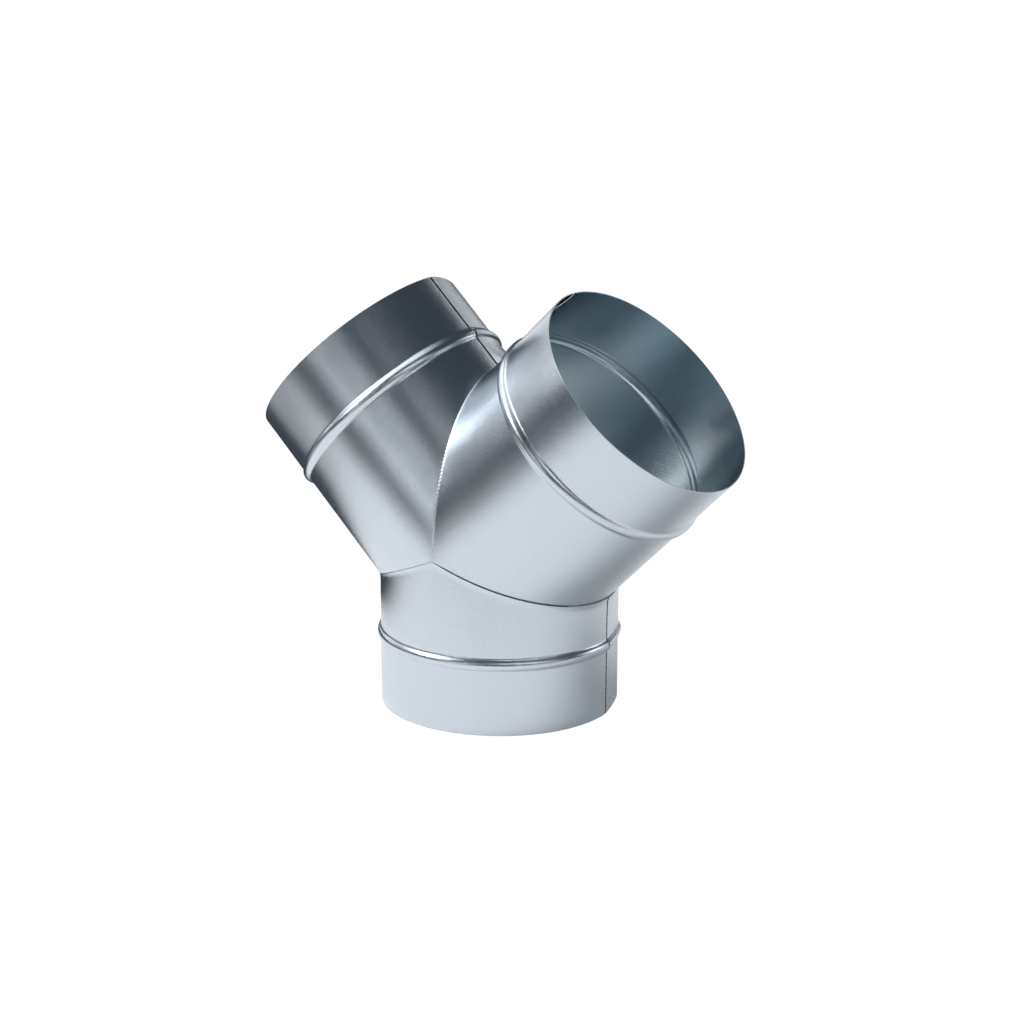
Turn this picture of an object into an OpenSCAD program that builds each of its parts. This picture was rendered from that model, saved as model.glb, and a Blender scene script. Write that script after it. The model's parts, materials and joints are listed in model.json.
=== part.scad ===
// Symmetrical wye for round ventilation duct, made of three rolled sheets.
// The trunk stands upright on its mouth, centred on the origin. Both branches
// lean away from the vertical in the XZ plane, and all three axes meet at one point.
// Lengths are in millimetres and angles in degrees.

/* [Duct] */
// Outside diameter of each spigot, which slips into a duct of 150
duct_d = 149; // [110:1:180]
// Thickness of the galvanised sheet
sheet_t = 0.6; // [0.5:0.1:0.9]
// Height of the meeting point of the axes above the trunk mouth
trunk_h = 106.5; // [104:0.5:150]
// Length of a branch from the meeting point to its mouth
branch_l = 146.4; // [145:0.2:220]
// Lean of each branch away from the vertical
branch_lean = 45; // [43:1:52]

/* [Bead] */
// Length of plain spigot between a mouth and the foot of the bead
spigot_l = 40; // [25:1:44]
// Height of the bead crest above the sheet
bead_h = 2.1; // [1:0.1:2.5]
// Outer radius of the bead crest
crest_r = 4; // [3.2:0.1:5]
// Radius of the hollow where the bead leaves the sheet
foot_r = 2.6; // [1:0.1:4]

/* [Lap seam] */
// Width of the lap, where one end of a sheet lies pressed under the other
lap_w = 28; // [10:1:32]
// Width of the step that takes the inner layer under the outer one
step_w = 1.2; // [0.8:0.1:2]
// Slit between the free edge of the outer layer and the step
slit_w = 0.5; // [0.3:0.1:1]
// Turn of the trunk lap from the plane of the branches
trunk_lap_turn = 4; // [0:1:20]

/* [Spot welds] */
// Diameter of the dent that a spot weld leaves in the lap
weld_d = 3; // [2:0.5:5]
// Depth of this dent
weld_dent = 0.15; // [0.1:0.05:0.3]
// Distance between neighbouring spot welds
weld_pitch = 11; // [8:0.5:20]
// Distance of the first spot weld from the mouth
weld_start = 6; // [4:0.5:7]
// Distance of the row of spot welds from the free edge
weld_edge = 5; // [3:0.5:8]
// Depth to which the welded layers run into each other
weld_bite = 0.05; // [0.03:0.01:0.1]

/* [Mitre joints] */
// Length of the rim that one sheet tucks into its neighbour
rim_l = 6; // [4:0.5:9]
// Length of the joggle that sets this rim inward
joggle_l = 2.5; // [1.5:0.5:4]
// Depth to which the foot of this rim runs into the joggle
rim_root = 0.2; // [0.1:0.05:0.3]
// Free gap between the tucked rim and the sheet around it
rim_gap = 0.2; // [0.2:0.05:0.3]
// Clear width kept between a tucked rim and whatever it is cut back from
notch_gap = 1.5; // [1:0.5:3]

/* [Hidden] */
$fn = 180;
duct_r = duct_d / 2;
// Half the bead's width, from its middle to the end of the hollow at its foot
bead_half = sqrt(2 * (crest_r + foot_r) * bead_h - bead_h * bead_h);
// Distance of the bead's middle from the mouth
bead_at = spigot_l + bead_half;
// Arc of the sheet, in degrees, that a width along its surface covers
function arc(w) = w / duct_r * 180 / PI;
// Tilt of the joint planes between the trunk and the branches
joint_tilt = branch_lean / 2;
// A reach that takes every cutting block clear of the part
reach = 2 * (trunk_h + branch_l + duct_d);
// How far the tubes run on past the meeting point before they are cut
tail = 2 * duct_d;
// Overshoot of a cutting shape past the surface that it cuts
over = 1;
// Height above the meeting point at which the rim between the branches starts
rim_floor = rim_l / cos(joint_tilt) + notch_gap;
// Outer and inner radius of a tucked rim
rim_outer_r = duct_r - sheet_t - rim_gap;
rim_inner_r = rim_outer_r - sheet_t;
// Outer radius of a joggle, in the middle of the sheet's wall
joggle_outer_r = duct_r - sheet_t / 2;
// Inner radius of a joggle, deep enough for a foot that leans in by twice a half angle
function joggle_inner_r(half_angle) = rim_inner_r - 3 * rim_root * tan(half_angle);

// Half section of everything inside the sheet's outer surface lowered by depth.
// The radius runs along X, the distance from the mouth along Y.
module section_under(depth, length) {
    wall_r = duct_r - depth;
    foot = foot_r + depth;
    crest = crest_r - depth;
    both = crest_r + foot_r;
    flank = foot * bead_h / both;
    core_r = duct_r / 2;
    translate([core_r, 0]) square([wall_r - core_r, length]);
    translate([0, bead_at]) {
        translate([duct_r + bead_h - crest_r, 0]) circle(crest);
        difference() {
            translate([core_r, -bead_half]) square([wall_r + flank - core_r, 2 * bead_half]);
            for (side = [-1, 1]) {
                translate([duct_r + foot_r, side * bead_half]) circle(foot);
            }
        }
    }
}

// Half section of one layer of sheet between two depths
module layer_section(top, bottom, length) {
    difference() {
        section_under(top, length);
        section_under(bottom, length + over);
        translate([0, -over]) square([duct_r - bottom, length + 2 * over]);
    }
}

// Dents of the row of spot welds that ties the two layers of the lap, clear of the bead
module weld_dents(length) {
    count = floor((length - weld_start) / weld_pitch);
    for (i = [0 : count]) {
        h = weld_start + i * weld_pitch;
        if (abs(h - bead_at) > bead_half + weld_d / 2) {
            rotate([0, 0, arc(weld_edge)]) translate([duct_r - weld_dent, 0, h])
                rotate([0, 90, 0]) cylinder(d = weld_d, h = over);
        }
    }
}

// Slit beside the free edge of the outer layer, right through the sheet's wall
module edge_slit(length) {
    rotate([0, 0, -arc(slit_w)]) rotate_extrude(angle = arc(slit_w))
        translate([duct_r / 2, -over]) square([duct_r, length + 2 * over]);
}

// The other end of the sheet: it dives at the step and lies under the outer layer
module inner_end(length) {
    dive = arc(slit_w + step_w);
    rotate([0, 0, -dive]) rotate_extrude(angle = dive + arc(lap_w))
        layer_section(sheet_t - weld_bite, 2 * sheet_t, length);
}

// One rolled sheet, mouth down at the origin. The free edge of its outer layer is on +X.
module rolled_sheet(length) {
    difference() {
        rotate_extrude() layer_section(0, sheet_t, length);
        edge_slit(length);
        weld_dents(length);
    }
    inner_end(length);
}

// Everything on the far side of the plane x = 0
module beyond_middle() {
    translate([-reach, -reach / 2, -reach / 2]) cube(reach);
}

// Slab above the joint plane of the right branch, between two distances from it
module joint_slab(from, to) {
    translate([0, 0, trunk_h]) rotate([0, joint_tilt, 0])
        translate([-reach / 2, -reach / 2, from]) cube([reach, reach, to - from]);
}

// Plain tube about the vertical axis through the origin
module tube(outer_r, inner_r) {
    difference() {
        cylinder(r = outer_r, h = reach, center = true);
        cylinder(r = inner_r, h = reach + over, center = true);
    }
}

// Moves an upright shape at the origin onto the axis of the right branch
module on_right_axis() {
    translate([0, 0, trunk_h]) rotate([0, branch_lean, 0]) children();
}

// Space kept free at a lap that lies on +X or, turned half round, on -X
module lap_notch() {
    width = 2 * (lap_w + notch_gap);
    translate([0, -width / 2, -reach / 2]) cube([reach, width, reach]);
}

// Rim that the trunk tucks into the right branch, kept clear of the rim on the left
module trunk_rim_half() {
    difference() {
        union() {
            intersection() {
                tube(joggle_outer_r, joggle_inner_r(joint_tilt));
                joint_slab(-joggle_l, 0);
            }
            intersection() {
                on_right_axis() tube(rim_outer_r, rim_inner_r);
                joint_slab(-rim_root, rim_l);
            }
        }
        translate([notch_gap, 0, 0]) beyond_middle();
    }
}

module trunk() {
    color("lightsteelblue") {
        difference() {
            rotate([0, 0, trunk_lap_turn]) mirror([0, 1, 0]) rolled_sheet(trunk_h + tail);
            joint_slab(0, reach);
            rotate([0, 0, 180]) joint_slab(0, reach);
        }
        difference() {
            trunk_rim_half();
            rotate([0, 0, trunk_lap_turn]) lap_notch();
        }
        rotate([0, 0, 180]) trunk_rim_half();
    }
}

// Right branch sheet, cut where it meets the trunk and the other branch
module branch_sheet() {
    difference() {
        on_right_axis() translate([0, 0, branch_l]) mirror([0, 0, 1])
            rotate([0, 0, 180]) rolled_sheet(branch_l + tail);
        joint_slab(-reach, 0);
        beyond_middle();
    }
}

module right_branch() {
    color("silver") branch_sheet();
}

// Upright slab across the part above the trunk's rim, between two distances from x = 0
module crotch_slab(from, to) {
    translate([from, -reach / 2, trunk_h + rim_floor]) cube([to - from, reach, reach / 2]);
}

// Rim that the left branch tucks into the right one, notched where both laps lie
module crotch_rim() {
    difference() {
        union() {
            intersection() {
                rotate([0, 0, 180]) on_right_axis()
                    tube(joggle_outer_r, joggle_inner_r(90 - branch_lean));
                crotch_slab(-joggle_l, 0);
            }
            intersection() {
                on_right_axis() tube(rim_outer_r, rim_inner_r);
                crotch_slab(-rim_root, rim_l);
            }
        }
        translate([-reach / 2, 0, 0]) lap_notch();
    }
}

module left_branch() {
    color("slategray") {
        rotate([0, 0, 180]) branch_sheet();
        crotch_rim();
    }
}

trunk();
right_branch();
left_branch();
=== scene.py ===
"""Looks of a duct wye: three rolled sheets of galvanised steel in a soft studio.

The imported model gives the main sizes. Each sheet is drawn again here as one rolled
strip of real thickness, with its lap, its bead, its edges and the small flats and
flares that the rolls and the hammer leave in it. The rims that one sheet tucks into
its neighbour are pieces of their own. Lengths are in metres and angles in degrees
unless a name or a comment says otherwise.
"""

import json
import math

import bmesh
import bpy
import numpy as np
from mathutils import Matrix, Vector


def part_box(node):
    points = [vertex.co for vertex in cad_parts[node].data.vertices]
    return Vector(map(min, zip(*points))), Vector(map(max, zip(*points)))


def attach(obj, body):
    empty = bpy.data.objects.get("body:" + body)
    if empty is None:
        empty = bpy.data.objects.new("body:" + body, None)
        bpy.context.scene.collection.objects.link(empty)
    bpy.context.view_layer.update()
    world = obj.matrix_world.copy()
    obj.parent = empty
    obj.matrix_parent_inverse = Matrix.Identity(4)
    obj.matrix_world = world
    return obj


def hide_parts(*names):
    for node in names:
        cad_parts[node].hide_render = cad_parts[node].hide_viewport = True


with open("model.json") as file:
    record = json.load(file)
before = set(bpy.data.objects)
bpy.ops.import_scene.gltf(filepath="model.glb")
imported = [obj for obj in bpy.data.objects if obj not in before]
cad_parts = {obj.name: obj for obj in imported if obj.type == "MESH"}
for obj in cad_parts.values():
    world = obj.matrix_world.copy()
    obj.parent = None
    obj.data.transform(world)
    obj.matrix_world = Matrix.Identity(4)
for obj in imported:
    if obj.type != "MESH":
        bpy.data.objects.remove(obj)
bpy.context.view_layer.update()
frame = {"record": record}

MM = 0.001

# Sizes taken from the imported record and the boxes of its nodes
MOUNTS = {m["name"]: m for m in frame["record"]["mounts"]}
SPIGOT = MOUNTS["right_spigot"]
DUCT_R = SPIGOT["dims"]["r_mm"] * MM
SPIGOT_L = SPIGOT["dims"]["length_mm"] * MM
OUT = Vector(SPIGOT["axis"]).normalized()
MOUTH = Vector(SPIGOT["pos_m"]) + OUT * SPIGOT_L / 2
BRANCH_L = MOUTH.x / OUT.x
TRUNK_H = MOUTH.z - BRANCH_L * OUT.z
BEAD_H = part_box("trunk")[1].y - DUCT_R
# Lean of each branch and tilt of the mitres at the trunk, in radians
LEAN = math.atan2(OUT.x, OUT.z)
TILT = LEAN / 2

# Sheet metal, as in the CAD source
SHEET_T = 0.6 * MM
CREST_R = 4 * MM
FOOT_R = 2.6 * MM
BEAD_HALF = math.sqrt(2 * (CREST_R + FOOT_R) * BEAD_H - BEAD_H**2)
BEAD_AT = SPIGOT_L + BEAD_HALF
LAP_W = 28 * MM
LAP_DEG = math.degrees(LAP_W / DUCT_R)
TRUNK_LAP_AT = 4.0
RIM_L = 6 * MM

# Where a sheet has columns of points, from its free edge at 0 to its tucked end past 360:
# near both ends, where the tucked end dives under the outer layer, evenly in between,
# and where two mitres meet
END_COLUMNS = np.array([0, 0.04, 0.08, 0.15, 0.3, 0.6, 1.0]) * MM
DIVE_COLUMNS = np.arange(356.4, 361.2, 0.2)
COLUMN_STEP = 0.9
CORNER_COLUMNS = [90, 270, 94, 274]

# Where it has rows of points: from the mouth, over the bead, and back from the mitre
MOUTH_ROWS = np.array([0, 0.04, 0.08, 0.15, 0.4, 1, 2, 3, 5, 7, 10, 13, 17, 21, 25, 29, 33, 36]) * MM
BEAD_MARGIN = 1.5 * MM
BEAD_STEP = 0.32 * MM
BODY_FROM_BEAD = 2 * MM
BODY_ROWS = 16
MITRE_ROWS = np.array([9, 7.5, 6, 5, 4.2, 3.5, 2.9, 2.3, 1.8, 1.3, 0.9, 0.5, 0.15, 0.08, 0.04, 0]) * MM

# Radius at the edges of the sheet
EDGE_ROUND = 0.15 * MM
# Unevenness of the free edge and how far it reaches into the sheet
BURR = 0.13
BURR_REACH = 1.0
# Slight waves in the sheet: how many go round, how long they are and how deep
WAVES_ROUND = range(2, 9)
WAVE_LENGTHS = (0.05, 0.11)
WAVE_DEPTH = 0.05 * MM
# Where the tucked end starts to dive, and over what angle
DIVE_AT = 358.4
DIVE_OVER = 1.5
# Gap between the layers of a lap, and the reach of the wider gap at a mouth
LAP_GAP = 0.05 * MM
MOUTH_GAP_REACH = 10 * MM
# Angle over which a flare at a mitre fades in and out
FLARE_FADE = 15
# Dark slot beside the free edge of a lap, painted shadow with some dirt: its middle, half its width, and
# its soft border
SLOT_MIDDLE = -0.7
SLOT_HALF = 1.3 * MM
SLOT_FADE = 0.3 * MM
# Dark line along a cut mitre end, painted shadow of the gap at the joint with some dirt, and its soft
# border
CUT_WIDTH = 0.12 * MM
CUT_FADE = 0.05 * MM
# Edges sharper than this are shaded as edges
SHARP = 50

# Tucked rims: half their thickness, and rows of points as a place and a depth in
# millimetres. A place below 0 is in millimetres behind the joint, along the rim's own
# sheet. A place above 0 is a share of the rim's length beyond the joint.
RIM_HALF = 0.27 * MM
RIM_ROWS = [(-2.5, 0.32), (-1.0, 0.6), (-0.2, 0.9), (0.1, 1.1), (0.5, 1.1), (1.0, 1.1)]
# Angle that they keep free at a lap, and where they end at the trunk and at the crotch
RIM_FREE = 23.5
TRUNK_RIM_END = 87
CROTCH_RIM_END = 80
# Their step, the angle over which they narrow at both ends, and what is left at the tip
RIM_STEP = 1.5
RIM_TAPER = 9
RIM_TIP = 0.1


def smooth(x):
    """Smooth step from 0 to 1 as x goes from 0 to 1."""
    x = np.clip(x, 0.0, 1.0)
    return x * x * (3 - 2 * x)


def bump(x):
    """Round bump that is 0 at 0 and 1, and 1 in the middle."""
    x = np.clip(x, 0.0, 1.0)
    return 4 * x * (1 - x)


def bead(s):
    """Height of the rolled bead at distance s from the mouth."""
    x = np.abs(s - BEAD_AT)
    join = CREST_R * BEAD_HALF / (CREST_R + FOOT_R)
    crest = BEAD_H - CREST_R + np.sqrt(np.maximum(CREST_R**2 - np.minimum(x, join) ** 2, 0))
    foot = FOOT_R - np.sqrt(FOOT_R**2 - np.clip(BEAD_HALF - x, 0, FOOT_R) ** 2)
    return np.where(x < join, crest, np.where(x < BEAD_HALF, foot, 0.0))


def rounded(x):
    """How far a surface drops at distance x from a rounded edge."""
    y = np.clip(EDGE_ROUND - x, 0, EDGE_ROUND)
    return EDGE_ROUND - np.sqrt(EDGE_ROUND**2 - y**2)


class Tube:
    """A rolled sheet: where it is, how it is cut and what the rolls and the hammer did to it.

    mouth and out: the middle of its mouth and the way that this opens
    crown: the way from the axis to angle 0
    lap_at and turn: the angle of its free edge, and the sense in which the sheet runs round
    planes: its mitres, each as a point and a normal
    flats: each with the angles where it starts and stops, its depth, and the distances
        from the mouth between which it fades out
    flares: for each mitre a list, each with its height, its width, and the angles from
        the lap between which it lies
    gap: how far the lap stands open at the mouth
    cut_dark: how dark its cut ends at the mitres are painted, from 0 to 1, as shadow of the gap at the
    joint with some dirt
    """

    def __init__(self, mouth, out, crown, lap_at, turn, planes, flats, flares, gap, cut_dark):
        self.mouth = np.array(mouth)
        self.out = np.array(out)
        self.crown = np.array(crown)
        self.side = np.array((0.0, 1.0, 0.0))
        self.lap_at = lap_at
        self.turn = turn
        self.planes = planes
        self.flats = flats
        self.flares = flares
        self.gap = gap
        self.cut_dark = cut_dark

    def radial(self, turned):
        """Unit vectors away from the axis, at angles along the sheet."""
        a = np.radians(self.lap_at + self.turn * turned)
        return np.cos(a)[..., None] * self.crown + np.sin(a)[..., None] * self.side

    def reaches(self, turned):
        """Distances from the mouth at which a line along the sheet meets each mitre."""
        m = self.radial(turned)
        found = []
        for point, normal in self.planes:
            n = np.array(normal)
            found.append(((self.mouth - np.array(point)) @ n + DUCT_R * (m @ n)) / (self.out @ n))
        return np.array(found)

    def place(self, turned, s, radius):
        """Points of the sheet in the part's frame."""
        return self.mouth - s[..., None] * self.out + radius[..., None] * self.radial(turned)


def columns():
    """Angles along the sheet, from its free edge to its tucked end."""
    last = 360 + LAP_DEG
    from_end = np.degrees(END_COLUMNS / DUCT_R)
    even = np.arange(COLUMN_STEP, last - 1, COLUMN_STEP)
    found = np.concatenate([from_end, last - from_end[::-1], DIVE_COLUMNS, even, CORNER_COLUMNS])
    return np.unique(np.round(found, 4))


def row_places(ends):
    """Distances from the mouth, one row of points each, that close in on the mitre."""
    bead_rows = np.arange(BEAD_AT - BEAD_HALF - BEAD_MARGIN, BEAD_AT + BEAD_HALF + BEAD_MARGIN, BEAD_STEP)
    body_from = BEAD_AT + BEAD_HALF + BODY_FROM_BEAD
    rows = [np.full_like(ends, s) for s in np.concatenate([MOUTH_ROWS, bead_rows])]
    for share in np.linspace(0, 1, BODY_ROWS)[:-1]:
        rows.append(body_from + share * (ends - MITRE_ROWS[0] - body_from))
    rows += [ends - d for d in MITRE_ROWS]
    return np.array(rows)


def waves(turned, s, seed):
    """Slight unevenness of the sheet."""
    a = np.radians(turned)
    total = np.zeros(np.broadcast(turned, s).shape)
    rng = np.random.default_rng(seed)
    for k in WAVES_ROUND:
        for length in WAVE_LENGTHS:
            p, q = rng.uniform(0, 2 * math.pi, 2)
            total = total + np.sin(k * a + p) * np.cos(2 * math.pi * s / length + q) / k
    return WAVE_DEPTH * total


def sheet_radius(tube, turned, s, reaches, seed):
    """Radius of the sheet's outer surface."""
    wrapped = np.mod(turned, 360)
    radius = DUCT_R + bead(s) + waves(wrapped, s, seed)
    for start, stop, depth, fades_from, fades_to in tube.flats:
        fade = 1 - smooth((s - fades_from) / (fades_to - fades_from))
        radius = radius - depth * bump((wrapped - start) / (stop - start)) * fade
    under = smooth((turned - DIVE_AT) / DIVE_OVER)
    chord = bump((turned - 360) / LAP_DEG)
    gap = LAP_GAP + tube.gap * chord * np.exp(-s / MOUTH_GAP_REACH)
    radius = radius - under * (SHEET_T + gap)
    around = np.minimum(wrapped, 360 - wrapped)
    for reach, flares in zip(reaches, tube.flares):
        for height, width, start, stop in flares:
            fades_in = smooth((around - start) / FLARE_FADE + 0.5)
            share = fades_in * smooth((stop - around) / FLARE_FADE + 0.5)
            radius = radius + height * share * np.clip(1 - (reach - s) / width, 0, 1) ** 2
    return radius


def lay_out(mesh, turned, s):
    """Gives both faces of a sheet a map of how the flat sheet lay before it was rolled."""
    uv = np.stack(np.broadcast_arrays(np.radians(turned) * DUCT_R, s), axis=-1).reshape(-1, 2)
    uv = np.concatenate([uv, uv])
    layer = mesh.uv_layers.new(name="sheet")
    loop_verts = np.zeros(len(mesh.loops), int)
    mesh.loops.foreach_get("vertex_index", loop_verts)
    layer.data.foreach_set("uv", uv[loop_verts].ravel())


def store(mesh, name, values):
    """Stores one value for each point of a mesh."""
    mesh.attributes.new(name, "FLOAT", "POINT").data.foreach_set("value", values.ravel())


def finish_piece(name, mesh):
    """Turns a closed mesh into a smooth-shaded piece that faces outwards."""
    bm = bmesh.new()
    bm.from_mesh(mesh)
    bmesh.ops.recalc_face_normals(bm, faces=bm.faces)
    bm.to_mesh(mesh)
    bm.free()
    mesh.shade_smooth()
    mesh.set_sharp_from_angle(angle=math.radians(SHARP))
    piece = bpy.data.objects.new(name, mesh)
    bpy.context.scene.collection.objects.link(piece)
    return piece


def make_sheet(name, tube, seed):
    """One rolled strip of sheet as a closed mesh of real thickness."""
    turned = columns()[None, :]
    reaches = tube.reaches(turned[0])
    ends = reaches.min(axis=0)
    s = row_places(ends)
    radius = sheet_radius(tube, turned, s, reaches[:, None, :], seed)
    from_edge = np.minimum(turned, 360 + LAP_DEG - turned) * math.radians(1) * DUCT_R
    drop = np.maximum(rounded(from_edge), np.maximum(rounded(s), rounded(ends[None, :] - s)))
    turned = np.broadcast_to(turned, s.shape)
    rng = np.random.default_rng(seed)
    burr = rng.uniform(-BURR, BURR, (len(s), 1)) * smooth(1 - turned / BURR_REACH)
    outer = tube.place(turned + burr, s, radius - drop)
    inner = tube.place(turned + burr, s, radius - SHEET_T + drop)
    verts = np.concatenate([outer.reshape(-1, 3), inner.reshape(-1, 3)])
    rows, cols = s.shape
    side_points = rows * cols
    index = np.arange(side_points).reshape(rows, cols)
    faces = []

    def strip(a, b):
        """Quads between two equal rows of vertex numbers."""
        faces.append(np.stack([a[:-1], a[1:], b[1:], b[:-1]], axis=-1).reshape(-1, 4))

    for i in range(rows - 1):
        strip(index[i], index[i + 1])
        strip(index[i + 1] + side_points, index[i] + side_points)
    strip(index[0] + side_points, index[0])
    strip(index[-1], index[-1] + side_points)
    strip(index[:, 0] + side_points, index[:, 0])
    strip(index[:, -1], index[:, -1] + side_points)
    mesh = bpy.data.meshes.new(name)
    mesh.from_pydata(verts.tolist(), [], np.concatenate(faces).tolist())
    lay_out(mesh, turned, s)
    # Painted shadow with some dirt in the slot beside the lap's free edge and along the cut mitre ends
    from_slot = np.abs(turned - (360 + SLOT_MIDDLE)) * math.radians(1) * DUCT_R
    slot = smooth((SLOT_HALF - from_slot) / SLOT_FADE)
    cut = tube.cut_dark * smooth((CUT_WIDTH - (ends[None, :] - s)) / CUT_FADE)
    store(mesh, "dark", np.stack([np.maximum(slot, cut), cut]))
    # The inner face is marked for the darker zinc colour, painted shade inside the tube.
    store(mesh, "inside", np.repeat([0.0, 1.0], side_points))
    store(mesh, "to_seam", np.stack([reaches[0] - s] * 2) / MM)
    return finish_piece(name, mesh)


def make_rim(name, seat, own_way, into_way, length, start, stop):
    """A rim that one sheet tucks into its neighbour, from one angle to another.

    seat gives points on the joint, own_way leads back along the rim's own sheet, and
    into_way leads on into its neighbour.
    """
    turned = np.linspace(start, stop, int((stop - start) / RIM_STEP) + 2)
    taper = RIM_TIP + (1 - RIM_TIP) * smooth(np.minimum(turned - start, stop - turned) / RIM_TAPER)
    rows = []
    for place, depth in RIM_ROWS:
        if place <= 0:
            offset = own_way * place * -MM
        else:
            offset = (into_way * place * length)[None, :] * taper[:, None]
        rows.append([seat(turned, DUCT_R - depth * MM + half) + offset for half in (RIM_HALF, -RIM_HALF)])
    outer, inner = np.array(rows).transpose(1, 0, 2, 3)
    count = outer.shape[1]
    ring = np.arange(len(RIM_ROWS) * count).reshape(-1, count)
    loop = np.concatenate([ring, ring[::-1] + ring.size])
    faces = []
    for a, b in zip(loop, np.roll(loop, -1, axis=0)):
        faces += [(a[i], a[i + 1], b[i + 1], b[i]) for i in range(count - 1)]
    for end in (0, -1):
        for i in range(len(ring) - 1):
            a, b = ring[i, end], ring[i + 1, end]
            faces.append((a, b, b + ring.size, a + ring.size))
    mesh = bpy.data.meshes.new(name)
    points = np.concatenate([outer, inner]).reshape(-1, 3)
    mesh.from_pydata(points.tolist(), [], [tuple(map(int, f)) for f in faces])
    lay_out(mesh, turned[None, :], np.array([place * length for place, depth in RIM_ROWS])[:, None])
    return finish_piece(name, mesh)


# Bright zinc. Its colour varies a little with the grain, and inside the tube it is painted darker as
# shade.
ZINC_DARK = (0.64, 0.70, 0.755, 1)
ZINC_LIGHT = (0.735, 0.80, 0.86, 1)
ZINC_INSIDE_PAINTED_SHADE = (0.58, 0.675, 0.73, 1)
# Dark rusty colour of dirt, also used as painted shadow in lap slots and joint gaps
BARE_EDGE_AND_SHADOW = (0.08, 0.05, 0.036, 1)
# Span of the zinc's roughness, and what the full dark mark of dirt and painted shadow adds to it
ZINC_ROUGH = (0.14, 0.18)
DIRT_AND_SHADOW_ROUGH = 0.4
# Share of the zinc's shine that is hazy, and how rough that share is
HAZE_SHARE = 0.26
HAZE_ROUGH = 0.276
# Noise: each as its scale per metre round the tube, the factor on this along the tube,
# its detail and its roughness
GRAIN = (1250.0, 1.0, 2.0, 0.6)
CLOUD = (45.0, 0.6, 3.0, 0.55)
DIRT_AND_SHADOW_NOISE = (900.0, 1.0, 2.0, 0.6)
# Span of noise that is carried to the full change, and the least share of the dirt and painted shadow
NOISE_SPAN = (0.3, 0.7)
DIRT_AND_SHADOW_SPAN = (0.3, 0.55)
LEAST_DIRT_AND_SHADOW = 0.35
# Height of the grain in the surface
GRAIN_DEPTH = 0.135 * MM
# Ticks along the first mitre of each sheet: their pitch, their height against the
# grain's, and the distances from the mitre, in millimetres, over which they fade out
TICK_PITCH = 1.75 * MM
TICK_HEIGHT = 0.31
TICKS_FADE = (1.2, 2.6)


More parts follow.
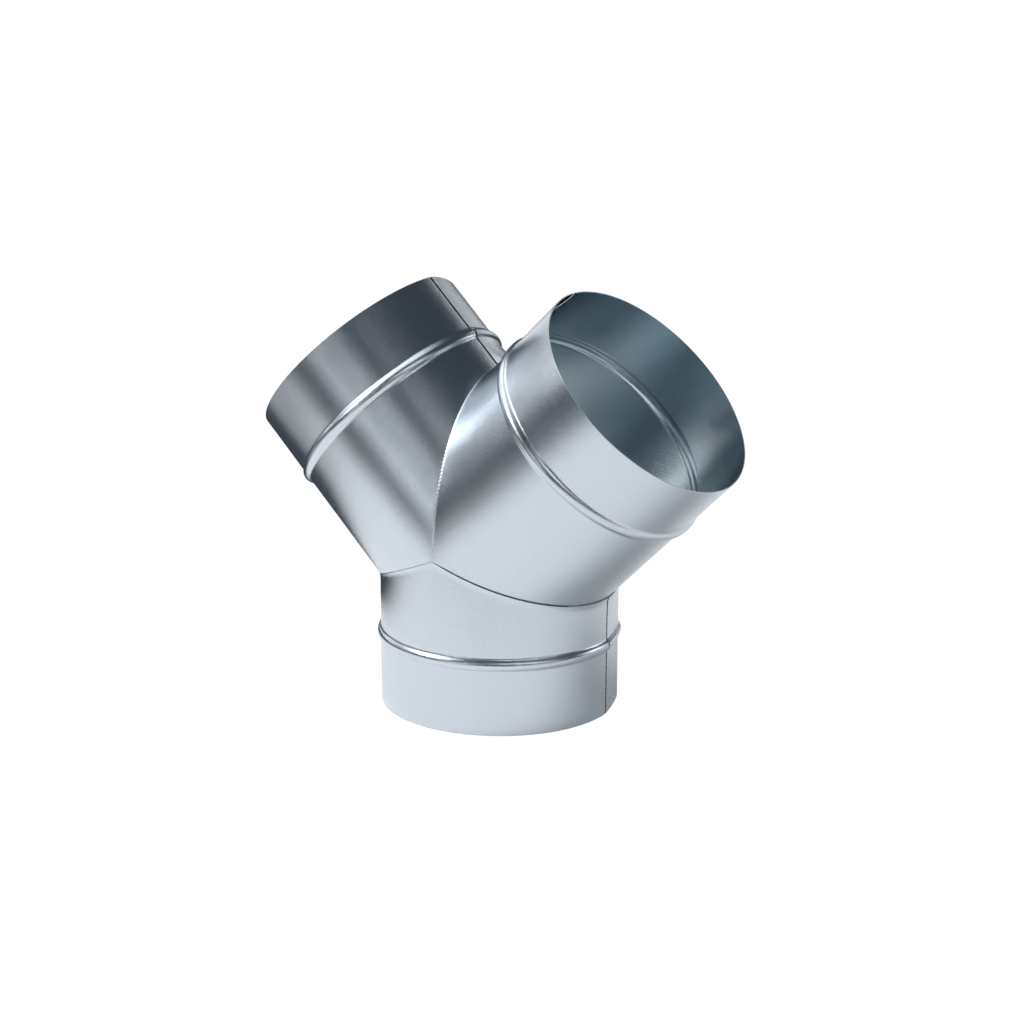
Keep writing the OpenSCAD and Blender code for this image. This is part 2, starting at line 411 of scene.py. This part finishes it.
def galvanised_sheet():
    """Bright zinc with a fine grain, painted shade inside, painted shadow with some dirt in slots and at
    cut ends, and ticks along a seam.
    """
    mat = bpy.data.materials.new("bright_zinc")
    mat.use_nodes = True
    nodes, links = mat.node_tree.nodes, mat.node_tree.links
    shader = nodes["Principled BSDF"]
    uv = nodes.new("ShaderNodeUVMap")
    uv.uv_map = "sheet"

    def noise(scale, stretch, detail, rough):
        """Noise on the flat sheet."""
        mapping = nodes.new("ShaderNodeMapping")
        mapping.inputs["Scale"].default_value = (scale, scale * stretch, scale)
        links.new(uv.outputs["UV"], mapping.inputs["Vector"])
        tex = nodes.new("ShaderNodeTexNoise")
        tex.inputs["Scale"].default_value = 1.0
        tex.inputs["Detail"].default_value = detail
        tex.inputs["Roughness"].default_value = rough
        links.new(mapping.outputs["Vector"], tex.inputs["Vector"])
        return tex.outputs["Fac"]

    def between(value, low, high, to_low, to_high):
        """A value carried from one span to another."""
        span = nodes.new("ShaderNodeMapRange")
        ends = (("From Min", low), ("From Max", high), ("To Min", to_low), ("To Max", to_high))
        for socket, number in ends:
            span.inputs[socket].default_value = number
        links.new(value, span.inputs["Value"])
        return span.outputs["Result"]

    def combined(operation, first, second):
        """Two values put together by one operation."""
        node = nodes.new("ShaderNodeMath")
        node.operation = operation
        for socket, value in zip(node.inputs, (first, second)):
            if isinstance(value, float):
                socket.default_value = value
            else:
                links.new(value, socket)
        return node.outputs["Value"]

    def mixed(first, second, share):
        """Two colours, or a link and a colour, mixed by a value."""
        node = nodes.new("ShaderNodeMix")
        node.data_type = "RGBA"
        for socket, value in (("A", first), ("B", second)):
            if isinstance(value, tuple):
                node.inputs[socket].default_value = value
            else:
                links.new(value, node.inputs[socket])
        links.new(share, node.inputs["Factor"])
        return node.outputs["Result"]

    def attribute(name):
        """A value stored at the points of the sheet."""
        node = nodes.new("ShaderNodeAttribute")
        node.attribute_name = name
        return node.outputs["Fac"]

    grain = noise(*GRAIN)
    cloud = noise(*CLOUD)
    patches = between(noise(*DIRT_AND_SHADOW_NOISE), *DIRT_AND_SHADOW_SPAN, LEAST_DIRT_AND_SHADOW, 1.0)
    # Dark mark of dirt and painted shadow, made patchy by noise
    dirt_and_shadow = combined("MULTIPLY", attribute("dark"), patches)

    along = nodes.new("ShaderNodeSeparateXYZ")
    links.new(uv.outputs["UV"], along.inputs["Vector"])
    phase = combined("MULTIPLY", along.outputs["X"], 2 * math.pi / TICK_PITCH)
    near_seam = between(attribute("to_seam"), *TICKS_FADE, 1.0, 0.0)
    ticks = combined("MULTIPLY", combined("SINE", phase, 0.0), near_seam)
    bumped = nodes.new("ShaderNodeBump")
    bumped.inputs["Strength"].default_value = 1.0
    bumped.inputs["Distance"].default_value = GRAIN_DEPTH
    height = combined("ADD", grain, combined("MULTIPLY", ticks, TICK_HEIGHT))
    links.new(height, bumped.inputs["Height"])

    speckled = mixed(ZINC_DARK, ZINC_LIGHT, between(grain, *NOISE_SPAN, 0.0, 1.0))
    # The inner face takes the darker inside colour, painted shade.
    colour = mixed(mixed(speckled, ZINC_INSIDE_PAINTED_SHADE, attribute("inside")), BARE_EDGE_AND_SHADOW, dirt_and_shadow)
    clean_rough = between(cloud, *NOISE_SPAN, *ZINC_ROUGH)
    rough = combined("ADD", clean_rough, combined("MULTIPLY", dirt_and_shadow, DIRT_AND_SHADOW_ROUGH))
    links.new(rough, shader.inputs["Roughness"])

    haze = nodes.new("ShaderNodeBsdfPrincipled")
    haze.inputs["Roughness"].default_value = HAZE_ROUGH
    for layer in (shader, haze):
        layer.inputs["Metallic"].default_value = 1.0
        links.new(colour, layer.inputs["Base Color"])
        links.new(bumped.outputs["Normal"], layer.inputs["Normal"])
    both = nodes.new("ShaderNodeMixShader")
    both.inputs["Fac"].default_value = HAZE_SHARE
    links.new(shader.outputs["BSDF"], both.inputs[1])
    links.new(haze.outputs["BSDF"], both.inputs[2])
    links.new(both.outputs["Shader"], nodes["Material Output"].inputs["Surface"])
    return mat


# The three sheets. A mitre's normal points towards the sheet that is kept.
MIDDLE = (0.0, 0.0, TRUNK_H)
RIGHT_PLANES = [
    (MIDDLE, (1.0, 0.0, 0.0)),
    (MIDDLE, (math.sin(TILT), 0.0, math.cos(TILT))),
]
LEFT_PLANES = [(p, (-n[0], n[1], n[2])) for p, n in RIGHT_PLANES]
TRUNK_PLANES = [
    (MIDDLE, (-math.sin(TILT), 0.0, -math.cos(TILT))),
    (MIDDLE, (math.sin(TILT), 0.0, -math.cos(TILT))),
]
# Angles from the lap that take in the whole way round
ALL_ROUND = (-20, 200)

RIGHT = Tube(
    mouth=MOUTH,
    out=OUT,
    crown=(-OUT.z, 0, OUT.x),
    lap_at=0,
    turn=-1,
    planes=RIGHT_PLANES,
    flats=[],
    flares=[
        [
            (0.8 * MM, 20 * MM, *ALL_ROUND),
            (0.35 * MM, 2.2 * MM, *ALL_ROUND),
            (0.3 * MM, 3 * MM, -20, 58),
        ],
        [],
    ],
    gap=1.7 * MM,
    cut_dark=1.0,
)
LEFT = Tube(
    mouth=(-MOUTH.x, 0, MOUTH.z),
    out=(-OUT.x, 0, OUT.z),
    crown=(OUT.z, 0, OUT.x),
    lap_at=0,
    turn=1,
    planes=LEFT_PLANES,
    flats=[(0, 50, 3.5 * MM, 52 * MM, 72 * MM)],
    flares=[[], []],
    gap=0.3 * MM,
    cut_dark=0.45,
)
TRUNK = Tube(
    mouth=(0, 0, 0),
    out=(0, 0, -1),
    crown=(1, 0, 0),
    lap_at=TRUNK_LAP_AT,
    turn=-1,
    planes=TRUNK_PLANES,
    flats=[(332, 360, 1.3 * MM, 60 * MM, 80 * MM)],
    flares=[[(0.9 * MM, 4 * MM, *ALL_ROUND)], [(0.4 * MM, 3.5 * MM, *ALL_ROUND)]],
    gap=0.3 * MM,
    cut_dark=0.6,
)


def trunk_seat(side):
    """Points on the mitre of the trunk with the branch on one side."""

    def seat(turned, radius):
        """Points at angles round the trunk's axis and at a radius from it."""
        a = np.radians(turned)
        x = radius * np.cos(a)
        return np.stack([side * x, radius * np.sin(a), TRUNK_H - x * math.tan(TILT)], axis=-1)

    return seat


def crotch_seat(turned, radius):
    """Points on the mitre between the two branches."""
    a = np.radians(turned)
    return np.stack([0 * a, radius * np.sin(a), TRUNK_H + radius * np.cos(a) / math.sin(LEAN)], axis=-1)


pieces = []
for node, tube, seed in (("trunk", TRUNK, 3), ("right_branch", RIGHT, 5), ("left_branch", LEFT, 8)):
    piece = make_sheet(node + "_sheet", tube, seed)
    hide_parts(node)
    pieces.append(piece)

TRUNK_RIM_L = RIM_L / math.cos(TILT)
CROTCH_RIM_L = RIM_L / math.cos(LEAN)
down = np.array((0.0, 0.0, -1.0))
for name, side in (("front", -1), ("back", 1)):
    ends = sorted((side * RIM_FREE, side * TRUNK_RIM_END))
    pieces.append(make_rim("trunk_rim_right_" + name, trunk_seat(1), down, RIGHT.out, TRUNK_RIM_L, *ends))
    ends = sorted((side * RIM_FREE, side * CROTCH_RIM_END))
    pieces.append(make_rim("crotch_rim_" + name, crotch_seat, LEFT.out, RIGHT.out, CROTCH_RIM_L, *ends))
ends = (-TRUNK_RIM_END, TRUNK_RIM_END)
pieces.append(make_rim("trunk_rim_left", trunk_seat(-1), down, LEFT.out, TRUNK_RIM_L, *ends))

zinc = galvanised_sheet()
for piece in pieces:
    piece.data.materials.append(zinc)
    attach(piece, "root")


# Camera, fitted to the photograph. It aims beside a point above the trunk's mouth, by
# AIM_RIGHT and AIM_UP times the spigot's radius.
AZIMUTH = math.radians(32.16)
ELEVATION = math.radians(15.48)
ROLL = math.radians(0.252)
DISTANCE = 19.936 * DUCT_R
FOCAL_PX = 2389.05
PHOTO_PX = 1024
SENSOR_MM = 36.0
AIM_H = 1.5 * DUCT_R
AIM_RIGHT = 0.0999
AIM_UP = 0.1073

back = Vector((
    math.sin(AZIMUTH) * math.cos(ELEVATION),
    -math.cos(AZIMUTH) * math.cos(ELEVATION),
    math.sin(ELEVATION),
))
right = Vector((math.cos(AZIMUTH), math.sin(AZIMUTH), 0))
up = back.cross(right)
target = Vector((0, 0, AIM_H)) + (AIM_RIGHT * right + AIM_UP * up) * DUCT_R
rolled_right = math.cos(ROLL) * right + math.sin(ROLL) * up
rolled_up = -math.sin(ROLL) * right + math.cos(ROLL) * up

camera_data = bpy.data.cameras.new("camera")
camera_data.sensor_width = SENSOR_MM
camera_data.lens = FOCAL_PX / PHOTO_PX * SENSOR_MM
camera = bpy.data.objects.new("camera", camera_data)
bpy.context.scene.collection.objects.link(camera)
place = Matrix((rolled_right, rolled_up, back)).transposed().to_4x4()
place.translation = target + back * DISTANCE
camera.matrix_world = place
bpy.context.scene.camera = camera


# Soft boxes of the studio, each as azimuth, elevation, distance, width, height and
# radiance. Azimuths go from -Y towards +X.
SOFT_BOXES = {
    "key_high": (-75, 53, 1.2, 1.45, 0.62, 1.5),
    "key_low": (-46, 31, 1.2, 0.66, 0.5, 2.4),
    "key_side": (-88, 30, 1.2, 0.95, 0.27, 1.0),
    "left_wall": (-98, 12, 1.2, 0.95, 0.2, 1.5),
    "left_low": (-61, 8, 1.2, 0.26, 0.17, 0.3),
    "low_card": (-42, -1.27, 1.2, 0.9, 0.12, 0.08),
    "back_left": (-129, 10, 1.2, 0.5, 0.36, 0.9),
    "back_low": (-126, -0.5, 1.2, 0.6, 0.13, 0.5),
    "front_strip": (-9, 6, 1.4, 0.3, 0.42, 1.5),
    "front_high": (5, 22, 1.4, 0.26, 0.25, 1.65),
    "right_panel": (50, 32, 1.2, 0.78, 0.5, 0.9),
    "right_low": (75, 18, 1.2, 0.6, 0.28, 0.9),
    "back_right": (132, 12, 1.2, 0.5, 0.4, 1.9),
    "back_wall": (-174, 9, 1.3, 0.7, 0.38, 0.7),
    "back_high": (170, 32, 1.2, 0.6, 0.3, 1.0),
    "overhead": (-60, 80, 1.2, 0.8, 0.5, 0.8),
}
# Azimuth and elevation of the sun, its strength and its spread
SUN_WAY = (-60, 48)
SUN_STRENGTH = 1.65
SUN_SPREAD = 40
# What the sheets see of the room between the lights
DIM_ROOM = (0.044, 0.056, 0.07, 1)
WHITE = (1, 1, 1, 1)
# Papers, each as its albedo and its glow
FLOOR_PAPER = (0.1, 0.97)
TABLE_PAPER = (0.8, 0.14)
SIDE_PAPER = (0.0, 0.36)
FLOOR_HALF = 60.0
# Edge of the table: the way that it faces, and its distance from the part's middle. The
# table runs from there to TABLE_DEEP on the other side, and forwards and backwards along it.
TABLE_EDGE_AZ = -113
TABLE_EDGE_AT = 0.226
TABLE_FRONT = 0.68
TABLE_BACK = 1.6
TABLE_DEEP = 1.9
TABLE_LIFT = 0.1 * MM
# Lighter part of the room's floor beyond that edge
SIDE_DEEP = 1.2
SIDE_NEAR = 0.2
SIDE_SLANT = 0.2
SIDE_FAR = 1.2


def direction(azimuth, elevation):
    """Unit vector at an azimuth and an elevation."""
    a, e = math.radians(azimuth), math.radians(elevation)
    return Vector((math.sin(a) * math.cos(e), -math.cos(a) * math.cos(e), math.sin(e)))


def soft_box(name, azimuth, elevation, distance, width, height, radiance):
    """A rectangular light that faces the part and doesn't show to the camera."""
    data = bpy.data.lights.new(name, "AREA")
    data.shape = "RECTANGLE"
    data.size, data.size_y = width, height
    data.energy = radiance * math.pi * width * height
    light = bpy.data.objects.new(name, data)
    bpy.context.scene.collection.objects.link(light)
    way = direction(azimuth, elevation)
    light.location = Vector((0, 0, TRUNK_H)) + way * distance
    light.rotation_euler = way.to_track_quat("Z", "Y").to_euler()
    light.visible_camera = False


def paper(name, albedo, glow):
    """A matt paper that also glows by itself."""
    mat = bpy.data.materials.new(name)
    mat.use_nodes = True
    shader = mat.node_tree.nodes["Principled BSDF"]
    shader.inputs["Base Color"].default_value = (albedo, albedo, albedo, 1)
    shader.inputs["Roughness"].default_value = 1.0
    shader.inputs["Specular IOR Level"].default_value = 0.0
    shader.inputs["Emission Color"].default_value = WHITE
    shader.inputs["Emission Strength"].default_value = glow
    return mat


def stage_plane(name, corners, material):
    """A flat piece of the stage."""
    mesh = bpy.data.meshes.new(name)
    mesh.from_pydata(corners, [], [tuple(range(len(corners)))])
    mesh.materials.append(material)
    plane = bpy.data.objects.new(name, mesh)
    bpy.context.scene.collection.objects.link(plane)
    return plane


def table_plane(name, corners, material):
    """A plane just above the floor that the camera doesn't see and that casts no shadow."""
    plane = stage_plane(name, corners, material)
    plane.location.z = TABLE_LIFT
    plane.visible_camera = False
    plane.visible_shadow = False


for name, numbers in SOFT_BOXES.items():
    soft_box(name, *numbers)

# The camera sees an endless pale floor. The sheets reflect a white table top on it.
floor = stage_plane(
    "floor",
    [(x * FLOOR_HALF, y * FLOOR_HALF, 0) for x, y in ((-1, -1), (1, -1), (1, 1), (-1, 1))],
    paper("floor_paper", *FLOOR_PAPER),
)
floor.visible_glossy = False

edge = direction(TABLE_EDGE_AZ, 0)
along = direction(TABLE_EDGE_AZ + 90, 0)
table_plane(
    "table_top",
    [
        edge * TABLE_EDGE_AT - along * TABLE_BACK,
        edge * TABLE_EDGE_AT + along * TABLE_FRONT,
        edge * (TABLE_EDGE_AT - TABLE_DEEP) + along * TABLE_FRONT,
        edge * (TABLE_EDGE_AT - TABLE_DEEP) - along * TABLE_BACK,
    ],
    paper("table_paper", *TABLE_PAPER),
)
table_plane(
    "side_table",
    [
        edge * TABLE_EDGE_AT + along * SIDE_NEAR,
        edge * (TABLE_EDGE_AT + SIDE_DEEP) + along * (SIDE_NEAR + SIDE_SLANT),
        edge * (TABLE_EDGE_AT + SIDE_DEEP) + along * SIDE_FAR,
        edge * TABLE_EDGE_AT + along * SIDE_FAR,
    ],
    paper("side_paper", *SIDE_PAPER),
)

# The sun lights the scene but leaves no highlight on the metal.
sun_data = bpy.data.lights.new("soft_sun", "SUN")
sun_data.energy = SUN_STRENGTH
sun_data.angle = math.radians(SUN_SPREAD)
sun = bpy.data.objects.new("soft_sun", sun_data)
bpy.context.scene.collection.objects.link(sun)
sun.rotation_euler = direction(*SUN_WAY).to_track_quat("Z", "Y").to_euler()
sun.visible_glossy = False

# Above the floor the camera sees white. The sheets see a dim room between the lights.
world = bpy.data.worlds.new("studio")
bpy.context.scene.world = world
world.use_nodes = True
room_nodes, room_links = world.node_tree.nodes, world.node_tree.links
dim_room = room_nodes["Background"]
dim_room.inputs["Color"].default_value = DIM_ROOM
white_room = room_nodes.new("ShaderNodeBackground")
white_room.inputs["Color"].default_value = WHITE
seen = room_nodes.new("ShaderNodeLightPath")
room = room_nodes.new("ShaderNodeMixShader")
room_links.new(seen.outputs["Is Camera Ray"], room.inputs["Fac"])
room_links.new(dim_room.outputs["Background"], room.inputs[1])
room_links.new(white_room.outputs["Background"], room.inputs[2])
room_links.new(room.outputs["Shader"], room_nodes["World Output"].inputs["Surface"])
bpy.context.scene.view_settings.view_transform = "Standard"
